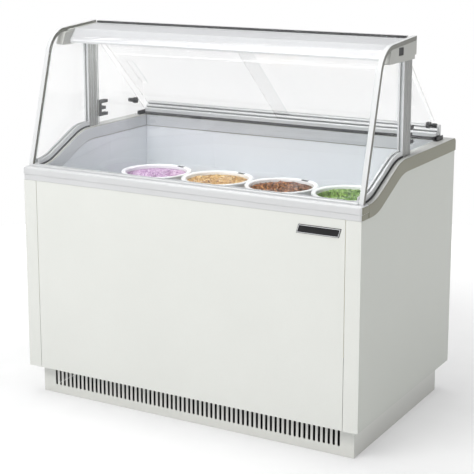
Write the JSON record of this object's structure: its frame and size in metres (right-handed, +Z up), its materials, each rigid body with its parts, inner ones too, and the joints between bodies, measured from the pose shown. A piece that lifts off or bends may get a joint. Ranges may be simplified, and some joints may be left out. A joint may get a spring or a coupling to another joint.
{
  "type": "ice cream dipping cabinet",
  "caption": "Insulated ice cream dipping cabinet with curved glass guard, lit canopy, sliding rear doors, lift-out tubs and a condensing unit in the base.",
  "frame": {"origin": "on the floor under the middle of the cabinet", "axes": "+X along the width, +Y towards the server's side, +Z up"},
  "size_m": [1.2, 0.736, 1.2161],
  "materials": {
    "white_paint": "satin powder coat",
    "steel_frame": "black frame paint",
    "galvanised_steel": "zinc-coated sheet",
    "stainless": "brushed",
    "dark_plate": "gloss black with a bright edge",
    "foam": "foamed polyurethane",
    "liner_white": "pre-painted, cool white",
    "copper": "bare copper tube",
    "rim_white": "moulded, semi-gloss",
    "rim_grey": "moulded, satin",
    "collar_grey": "extruded, satin",
    "anodised_aluminium": "satin anodised",
    "clear_glass": "clear tempered glass",
    "clear_acrylic": "clear acrylic sheet",
    "diffuser": "opal",
    "lamp_tube": "white tube",
    "white_plastic": "moulded",
    "black_rubber": "extruded",
    "cap_grey": "moulded, satin",
    "black_plastic": "moulded",
    "tub_white": "waxed board and plastic lip",
    "cream_lilac": "frozen cream",
    "cream_caramel": "frozen cream with brown specks",
    "cream_chocolate": "frozen cream with pale chunks",
    "cream_mint": "frozen cream with dark chips",
    "black_enamel": "gloss enamel",
    "fin_aluminium": "mill finish"
  },
  "bodies": {
    "cabinet": {"base_frame": "steel_frame", "base_pan": "galvanised_steel", "kick_grille_front": "white_paint", "kick_panels": "white_paint", "front_panel": "white_paint", "side_panel_left": "white_paint", "side_panel_right": "white_paint", "rear_panel": "white_paint", "service_grille": "white_paint", "nameplate": "dark_plate", "foam_insulation": "foam", "tank_liner": "liner_white", "evaporator_coil": "copper", "rim_front": "rim_white", "rim_left": "rim_grey", "rim_right": "rim_grey", "rim_rear": "rim_grey", "breaker_collar": "collar_grey", "front_glass_seat": "anodised_aluminium", "side_channels": "anodised_aluminium", "front_glass": "clear_glass", "glass_trims": "anodised_aluminium", "side_glasses": "clear_glass", "posts": "anodised_aluminium", "light_housing": "white_paint", "light_diffuser": "diffuser", "light_tube": "lamp_tube", "lamp_holders": "white_plastic", "top_rail": "anodised_aluminium", "upper_track": "anodised_aluminium", "seal_strips": "black_rubber", "end_caps": "cap_grey", "wing_glasses": "clear_glass", "wing_brackets": "black_plastic", "rear_rail": "anodised_aluminium", "can_rack": "stainless", "compressor": "black_enamel", "condenser_coil": "fin_aluminium", "fan_shroud": "galvanised_steel", "fan_motor": "black_enamel", "refrigerant_lines": "copper", "control_box": "galvanised_steel", "power_inlet": "black_plastic", "drain_pipe": "white_plastic"},
    "door_left": {"door_left": "clear_acrylic"},
    "door_right": {"door_right": "clear_acrylic"},
    "fan_blade": {"fan_blade": "fin_aluminium"},
    "thermostat_knob": {"thermostat_knob": "black_plastic"},
    "light_switch": {"light_switch": "black_plastic"},
    "drain_plug": {"drain_plug": "black_rubber"},
    "wing_knob_left": {"wing_knob_left": "black_plastic"},
    "wing_knob_right": {"wing_knob_right": "black_plastic"},
    "tub_1_body": {"tub_1": "tub_white", "ice_cream_1": "cream_lilac"},
    "tub_2_body": {"tub_2": "tub_white", "ice_cream_2": "cream_caramel"},
    "tub_3_body": {"tub_3": "tub_white", "ice_cream_3": "cream_chocolate"},
    "tub_4_body": {"tub_4": "tub_white", "ice_cream_4": "cream_mint"}
  },
  "joints": [
    {"name": "door_left_slide", "type": "slide", "parent": "cabinet", "child": "door_left", "axis": [1, 0, 0], "range_m": [0, 0.53]},
    {"name": "door_right_slide", "type": "slide", "parent": "cabinet", "child": "door_right", "axis": [-1, 0, 0], "range_m": [0, 0.53]},
    {"name": "fan_spin", "type": "hinge", "parent": "cabinet", "child": "fan_blade", "pos_m": [0.02, -0.15, 0.205], "axis": [0, 1, 0], "continuous": true},
    {"name": "thermostat_turn", "type": "hinge", "parent": "cabinet", "child": "thermostat_knob", "pos_m": [0.39, 0.344, 0.235], "axis": [0, 1, 0], "range_deg": [0, 270]},
    {"name": "light_switch_rock", "type": "hinge", "parent": "cabinet", "child": "light_switch", "pos_m": [0.588, -0.0945, 1.184], "axis": [0, 0, 1], "range_deg": [0, 14]},
    {"name": "drain_plug_pull", "type": "slide", "parent": "cabinet", "child": "drain_plug", "axis": [0, 0, 1], "range_m": [0, 0.03]},
    {"name": "wing_knob_left_turn", "type": "hinge", "parent": "cabinet", "child": "wing_knob_left", "pos_m": [-0.56, 0.226, 0.915], "axis": [1, 0, 0], "continuous": true},
    {"name": "wing_knob_right_turn", "type": "hinge", "parent": "cabinet", "child": "wing_knob_right", "pos_m": [0.56, 0.226, 0.915], "axis": [1, 0, 0], "continuous": true},
    {"name": "tub_1_lift", "type": "slide", "parent": "cabinet", "child": "tub_1_body", "axis": [0, 0, 1], "range_m": [0, 0.25]},
    {"name": "tub_2_lift", "type": "slide", "parent": "cabinet", "child": "tub_2_body", "axis": [0, 0, 1], "range_m": [0, 0.25]},
    {"name": "tub_3_lift", "type": "slide", "parent": "cabinet", "child": "tub_3_body", "axis": [0, 0, 1], "range_m": [0, 0.25]},
    {"name": "tub_4_lift", "type": "slide", "parent": "cabinet", "child": "tub_4_body", "axis": [0, 0, 1], "range_m": [0, 0.25]}
  ]
}
